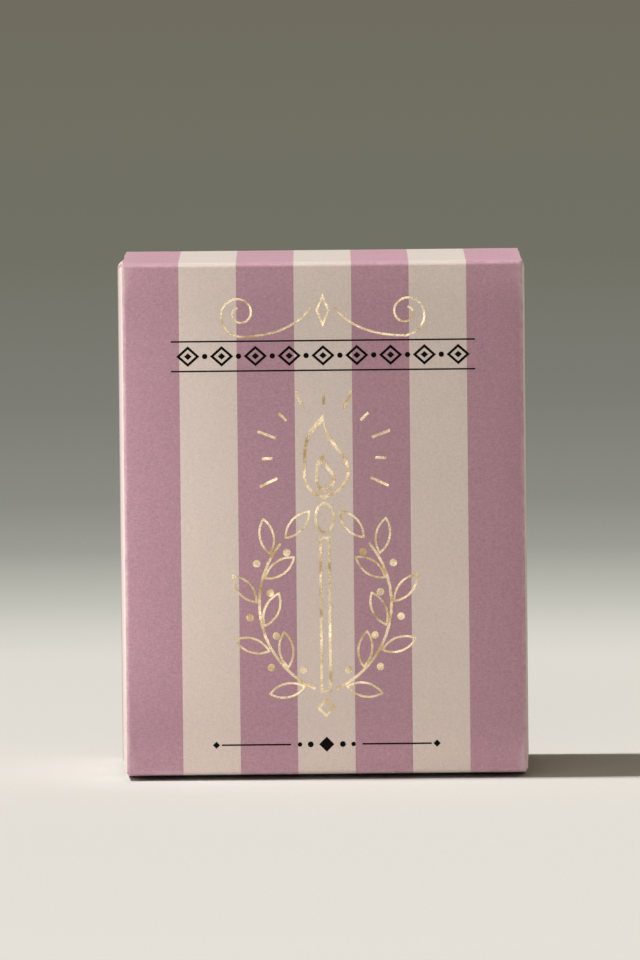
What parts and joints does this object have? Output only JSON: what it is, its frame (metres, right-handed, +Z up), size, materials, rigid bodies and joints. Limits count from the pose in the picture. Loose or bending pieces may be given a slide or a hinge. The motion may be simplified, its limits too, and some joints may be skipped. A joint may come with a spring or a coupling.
{
  "type": "tuck-end folding carton",
  "caption": "Upright paperboard gift carton with a hinged tuck lid and tuck bottom, striped, with a foil emblem on the front.",
  "frame": {"origin": "middle of the carton's footprint on the floor", "axes": "+Z up, the front with the emblem faces -Y, the carton's width runs along X"},
  "size_m": [0.0916, 0.0644, 0.116],
  "materials": {
    "board": "matte",
    "pink_print": "matte",
    "cream_print": "matte",
    "gold_foil": "metallic foil",
    "black_ink": "matte"
  },
  "bodies": {
    "carton": {"carton": "board", "carton_pink_stripes": "pink_print", "carton_cream_stripes": "cream_print", "gold_ornament": "gold_foil", "black_ornament": "black_ink"},
    "lid": {"top_lid": "board", "lid_pink_stripes": "pink_print", "lid_cream_stripes": "cream_print"},
    "bottom": {"bottom_lid": "board", "base_pink_stripes": "pink_print", "base_cream_stripes": "cream_print"}
  },
  "joints": [
    {"name": "lid_hinge", "type": "hinge", "parent": "carton", "child": "lid", "pos_m": [0, -0.03215, 0.11596], "axis": [1, 0, 0], "range_deg": [0, 180]},
    {"name": "bottom_hinge", "type": "hinge", "parent": "carton", "child": "bottom", "pos_m": [0, -0.03215, 0.00124], "axis": [-1, 0, 0], "range_deg": [0, 180]}
  ]
}
